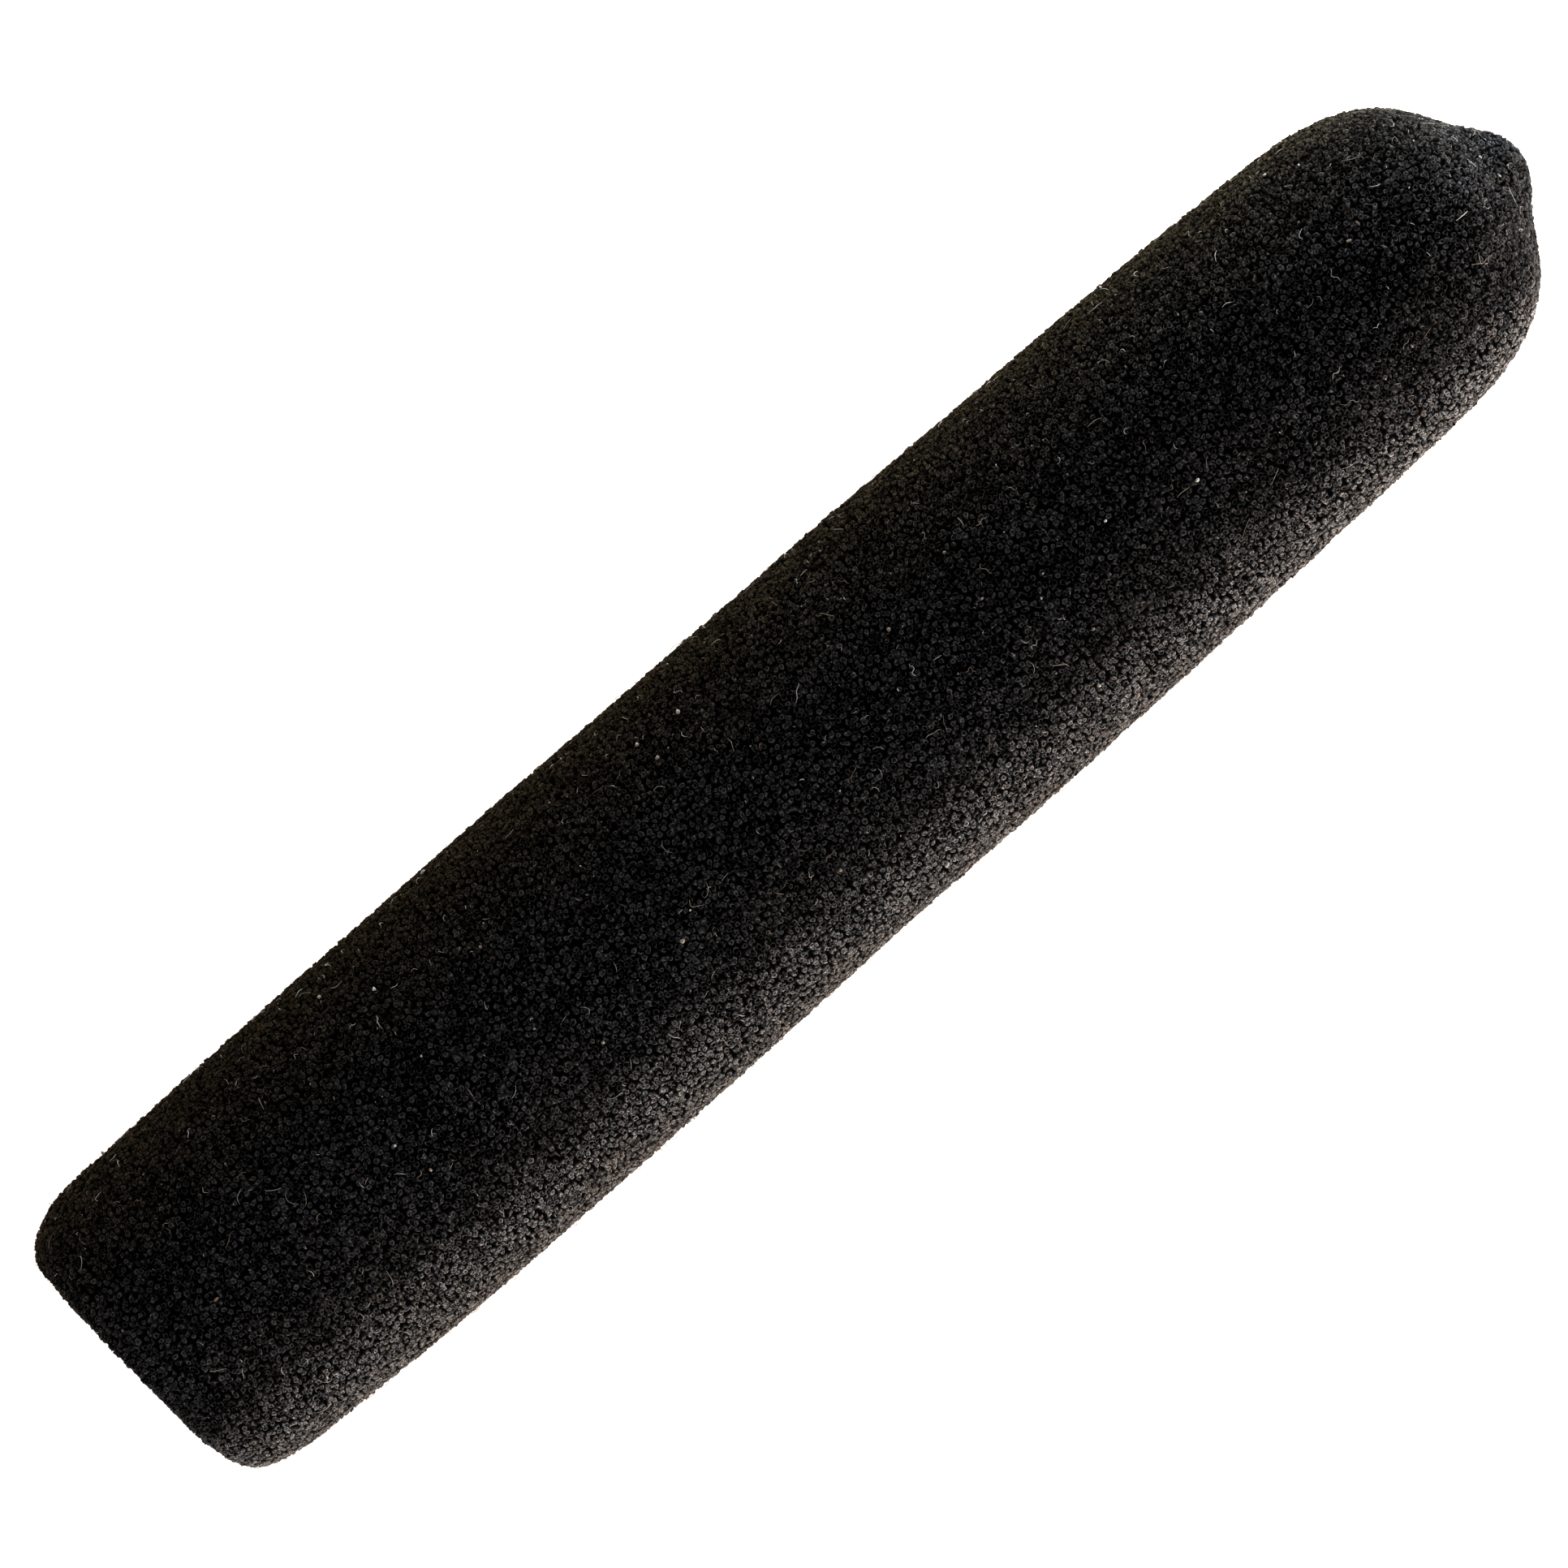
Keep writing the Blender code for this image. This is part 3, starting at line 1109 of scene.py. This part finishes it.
def closed_grid(rows, columns, rows_join):
    """Four-sided faces of a grid whose columns close on themselves, and its rows too if asked."""
    index = np.arange(rows * columns).reshape(rows, columns)
    if rows_join:
        index = np.vstack([index, index[:1]])
    index = np.hstack([index, index[:, :1]])
    corners = [index[:-1, :-1], index[:-1, 1:], index[1:, 1:], index[1:, :-1]]
    return np.stack(corners, axis=-1).reshape(-1, 4)


class WINDSCREEN_OT_lint(bpy.types.Operator):
    """Scatters fibres and crumbs over the foam's outside"""

    bl_idname = "windscreen.lint"
    bl_label = "Lint"

    def execute(self, context):
        lint = context.scene.windscreen_lint
        finish = lint_finish("lint_fibre", lint)
        points, quads, shade = fibres(lint, foam_section(), FIBRE_SEED)
        none = np.zeros((0, 3), int)
        mesh_piece("lint_fibres", points, quads, none, finish, {"shade": shade})
        points, quads, triangles, shade = crumbs(lint, foam_section(), CRUMB_SEED)
        mesh_piece("lint_crumbs", points, quads, triangles, finish, {"shade": shade})
        return {"FINISHED"}


LINT_START = 4 * MM  # from the tip
LEAST_RADIUS = 2 * MM  # for turning a distance round the axis into an angle
SHORTEST_SHARE = 0.12  # of the longest fibre
SHORTNESS = 2.4  # the power that makes most fibres short
CURL = 1.1
WOBBLE = 1.3
WOBBLE_WAVES = 1.5
RISE = 0.45 * MM
RISE_RANGE = (0.1, 0.9)
LIFT = 0.03 * MM
THICKNESS_RANGE = (0.6, 1.4)
END_THICKNESS = 0.35  # as a share of the middle's
END_MARGIN = 0.02
PALENESS = 1.3  # the power that makes more of the fibres pale


def fibres(lint, section, seed, steps=12, sides=4):
    """Curled fibres that lie on the foam.

    A fibre is a path in the surface's own plane that turns at a steady rate with a wobble, and
    rises from the foam and back as half a sine. Its thickness follows the square root of half a
    sine. Four-sided rings stand across it, and a face closes each end.
    """
    chance = np.random.default_rng(seed)
    count = lint.fibre_count
    spread = chance.uniform(0, 1, count) ** SHORTNESS
    length = lint.longest * (SHORTEST_SHARE + (1 - SHORTEST_SHARE) * spread)
    outside = section.length - BORE_DEPTH - FACE_RADIUS
    start_reach = chance.uniform(LINT_START, outside, count)
    start_turn = chance.uniform(0, 1, count)
    share = np.linspace(0, 1, steps)
    curl = chance.normal(0, CURL, count)[:, None]
    wobble = WOBBLE * chance.uniform(0, 1, count)[:, None] ** 3
    phase = chance.uniform(0, 2 * np.pi, count)[:, None]
    wave = np.sin(2 * np.pi * share * WOBBLE_WAVES + 3 * phase)
    heading = phase + curl * share + wobble * wave
    step = (length / steps)[:, None]
    reach = start_reach[:, None] + np.cumsum(np.cos(heading) * step, axis=1)
    girth = 2 * np.pi * np.maximum(section.at(reach)[1], LEAST_RADIUS)
    turn = start_turn[:, None] + np.cumsum(np.sin(heading) * step, axis=1) / girth
    centre, facing = section.place(reach, turn)
    centre = settle(centre, facing)
    rise = chance.uniform(*RISE_RANGE, count)[:, None] ** 2 * RISE
    lift = LIFT + rise * np.sin(np.pi * share)
    centre = centre + facing * lift[..., None]
    ahead = np.gradient(centre, axis=1)
    ahead /= np.linalg.norm(ahead, axis=-1, keepdims=True)
    side = np.cross(ahead, facing)
    side /= np.linalg.norm(side, axis=-1, keepdims=True)
    over = np.cross(side, ahead)
    thickness = lint.fibre_radius * chance.uniform(*THICKNESS_RANGE, count)[:, None]
    belly = np.sin(np.pi * np.clip(share, END_MARGIN, 1 - END_MARGIN)) ** 0.5
    thickness = thickness * (END_THICKNESS + (1 - END_THICKNESS) * belly)
    angle = np.arange(sides) * 2 * np.pi / sides
    ring = (
        np.cos(angle)[:, None] * side[:, :, None, :] + np.sin(angle)[:, None] * over[:, :, None, :]
    )
    points = centre[:, :, None, :] + ring * thickness[:, :, None, None]
    points = above_floor(points.reshape(count, -1, 3))
    single = closed_grid(steps, sides, False)
    last = (steps - 1) * sides
    ends = np.array([[0, 1, 2, 3], [last + 3, last + 2, last + 1, last]])
    single = np.vstack([single[:, ::-1], ends[:, ::-1]])
    first = np.arange(count)[:, None, None] * steps * sides
    quads = (single + first).reshape(-1, 4)
    shade = np.repeat(chance.uniform(0, 1, count) ** PALENESS, steps * sides)
    return points.reshape(-1, 3), quads, shade


def above_floor(bodies):
    """Raises each body, a row of points, until none of it is under the floor."""
    sunk = FLOOR_HEIGHT - bodies[..., 2].min(axis=1, keepdims=True)
    bodies[..., 2] += np.maximum(sunk, 0)
    return bodies


CRUMB_LEAST = 0.05 * MM
CRUMB_SPREAD = 0.15 * MM
CRUMB_POWER = 2.5  # makes most crumbs small
CRUMB_STAND = 0.5  # height of a crumb's middle, as a share of its size
LUMP_RANGE = (0.7, 1.3)
STRETCH_RANGE = (0.6, 1.6)


def crumbs(lint, section, seed, around=6, rows=3):
    """Small lumps on the foam: spheres stretched three ways, with every point moved a little."""
    chance = np.random.default_rng(seed)
    count = lint.crumb_count
    outside = section.length - BORE_DEPTH - FACE_RADIUS
    reach = chance.uniform(LINT_START, outside, count)
    centre, facing = section.place(reach, chance.uniform(0, 1, count))
    centre = settle(centre, facing)
    polar = (np.arange(rows) + 1) * np.pi / (rows + 1)
    azimuth = np.arange(around) * 2 * np.pi / around
    belt = np.stack(
        [
            np.sin(polar)[:, None] * np.cos(azimuth),
            np.sin(polar)[:, None] * np.sin(azimuth),
            np.cos(polar)[:, None] * np.ones(around),
        ],
        axis=-1,
    ).reshape(-1, 3)
    ball = np.vstack([belt, [[0, 0, 1], [0, 0, -1]]])
    each = len(ball)
    lumps = ball * chance.uniform(*LUMP_RANGE, (count, each, 1))
    size = CRUMB_LEAST + CRUMB_SPREAD * chance.uniform(0, 1, count) ** CRUMB_POWER
    lumps = lumps * (size[:, None] * chance.uniform(*STRETCH_RANGE, (count, 3)))[:, None, :]
    middle = centre + facing * CRUMB_STAND * size[:, None]
    points = middle[:, None, :] + lumps
    points = above_floor(points)
    single = closed_grid(rows, around, False)[:, ::-1]
    top, bottom = rows * around, rows * around + 1
    first_row = np.arange(around)
    last_row = first_row + (rows - 1) * around
    caps = np.vstack(
        [
            np.stack([np.full(around, top), first_row, np.roll(first_row, -1)], axis=1),
            np.stack([np.full(around, bottom), np.roll(last_row, -1), last_row], axis=1),
        ]
    )
    first = np.arange(count)[:, None, None] * each
    quads = (single + first).reshape(-1, 4)
    triangles = (caps + first).reshape(-1, 3)
    shade = np.repeat(chance.uniform(0, 1, count), each)
    return points.reshape(-1, 3), quads, triangles, shade


# Floor, light and camera

# Each light's name, place, size, colour and the place on the axis that it faces
LIGHTS = (
    ("side", (0.30, -0.8, 0.06), (2.0, 0.10), (1, 0.90, 0.78), 0),
    ("fill", (-0.1, 0.8, 0.05), (1.2, 0.08), (1, 0.60, 0.30), 0),
    ("nose", (0.13, 0.07, 0.025), (0.10, 0.04), (0.80, 0.92, 1), 0.07),
    ("shoulder", (0.16, -0.10, 0.025), (0.10, 0.04), (1, 0.93, 0.86), 0.06),
)
# The surroundings' colours by the sine of the height above the horizon
SKY = [
    (0.0, (1.1, 1.05, 1.02)),
    (0.03, (0.28, 0.26, 0.24)),
    (0.4, (0.34, 0.34, 0.35)),
    (1.0, (0.54, 0.54, 0.58)),
]
NEAR_SPAN = (0.02, -0.03)  # along Y, where the floor's glow goes over to the near one
NOSE_SPAN = (0.03, 0.12)  # along X, where the floor's glow rises
CAMERA_PLACE = (-4.70 * MM, 0.60 * MM)
SENSOR_WIDTH = 36.0


class WINDSCREEN_OT_stage(bpy.types.Operator):
    """Sets up the pale floor, the soft lights and the camera"""

    bl_idname = "windscreen.stage"
    bl_label = "Stage"

    def execute(self, context):
        stage = context.scene.windscreen_stage
        add_floor(stage)
        add_surroundings(context.scene)
        for name, place, size, colour, aim in LIGHTS:
            power = getattr(stage, name + "_power")
            add_light(name + "_light", place, size, colour, aim, power)
        add_camera(context.scene, stage)
        context.scene.view_settings.view_transform = "Standard"
        return {"FINISHED"}


def add_floor(stage, half=4.0):
    """A wide pale floor that glows as a light table does."""
    corners = [(-half, -half, 0), (half, -half, 0), (half, half, 0), (-half, half, 0)]
    mesh = bpy.data.meshes.new("floor")
    mesh.from_pydata(corners, [], [(0, 1, 2, 3)])
    graph = Graph(bpy.data.materials.new("pale_floor"))
    across = graph.node("SeparateXYZ", {}, {0: graph.place()}, "Y")
    along = graph.node("SeparateXYZ", {}, {0: graph.place()}, "X")
    near_side = spread_out(graph, across, *NEAR_SPAN)
    by_nose = spread_out(graph, along, *NOSE_SPAN)
    glow = graph.mixed(near_side, opaque(stage.floor_colour), opaque(stage.near_colour))
    glow = graph.scaled(glow, 1 + stage.nose_gain * by_nose)
    graph.shader(
        {
            "Base Color": (0.8, 0.8, 0.8, 1),
            "Roughness": 0.9,
            "Emission Color": glow,
            "Emission Strength": 1.0,
        }
    )
    mesh.materials.append(graph.owner)
    floor = bpy.data.objects.new("floor", mesh)
    bpy.context.scene.collection.objects.link(floor)


def add_surroundings(scene):
    """A room that is white at the horizon and dim overhead."""
    world = bpy.data.worlds.new("studio")
    scene.world = world
    graph = Graph(world)
    up = graph.node("TexCoord", {}, {}, "Generated")
    height = graph.node("SeparateXYZ", {}, {0: up}, "Z")
    glow = graph.node("ValToRGB", {"stops": SKY}, {"Fac": height})
    graph.feed(graph.tree.nodes["Background"].inputs["Color"], glow)


def add_light(name, place, size, colour, aim, power):
    """A low panel of light that the camera doesn't see, turned to a place on the axis."""
    data = bpy.data.lights.new(name, "AREA")
    data.shape = "RECTANGLE"
    data.size, data.size_y = size
    data.energy = power
    data.color = colour
    light = bpy.data.objects.new(name, data)
    light.location = place
    light.visible_camera = False
    towards = Vector((aim, 0, AXIS_HEIGHT)) - light.location
    light.rotation_euler = towards.to_track_quat("-Z", "Y").to_euler()
    bpy.context.scene.collection.objects.link(light)


def add_camera(scene, stage):
    """A long lens that looks straight down at a place a little to the mouth's side."""
    data = bpy.data.cameras.new("camera")
    data.sensor_width = SENSOR_WIDTH
    data.lens = SENSOR_WIDTH * stage.camera_height / stage.view_width
    data.clip_start, data.clip_end = 0.05, 20.0
    camera = bpy.data.objects.new("camera", data)
    camera.location = (*CAMERA_PLACE, AXIS_HEIGHT + stage.camera_height)
    camera.rotation_euler = (0, 0, stage.camera_turn)
    scene.collection.objects.link(camera)
    scene.camera = camera


# Panel and registration


class WINDSCREEN_PT_panel(bpy.types.Panel):
    """Lists the settings and the pieces"""

    bl_label = "Windscreen"
    bl_space_type = "VIEW_3D"
    bl_region_type = "UI"
    bl_category = "Windscreen"

    def draw(self, context):
        for name, (kind, _) in SETTINGS.items():
            box = self.layout.box()
            for prop in kind.__annotations__:
                box.prop(getattr(context.scene, name), prop)
        for piece in PIECES:
            self.layout.operator(piece.bl_idname)


SETTINGS = {
    "windscreen_foam": (FoamSettings, "Foam"),
    "windscreen_ring": (RingSettings, "Grip ring"),
    "windscreen_lint": (LintSettings, "Lint"),
    "windscreen_stage": (StageSettings, "Stage"),
}
PIECES = (
    WINDSCREEN_OT_foam_body,
    WINDSCREEN_OT_front_pad,
    WINDSCREEN_OT_grip_ring,
    WINDSCREEN_OT_lint,
    WINDSCREEN_OT_stage,
)


def register():
    for name, (kind, label) in SETTINGS.items():
        bpy.utils.register_class(kind)
        setattr(bpy.types.Scene, name, PointerProperty(type=kind, name=label))
    for kind in (*PIECES, WINDSCREEN_PT_panel):
        bpy.utils.register_class(kind)


def unregister():
    for kind in (WINDSCREEN_PT_panel, *reversed(PIECES)):
        bpy.utils.unregister_class(kind)
    for name, (kind, _) in SETTINGS.items():
        delattr(bpy.types.Scene, name)
        bpy.utils.unregister_class(kind)


def main():
    register()
    bpy.ops.windscreen.stage()
    bpy.ops.windscreen.foam_body()
    bpy.ops.windscreen.front_pad()
    bpy.ops.windscreen.grip_ring()
    bpy.ops.windscreen.lint()


if __name__ == "__main__":
    main()
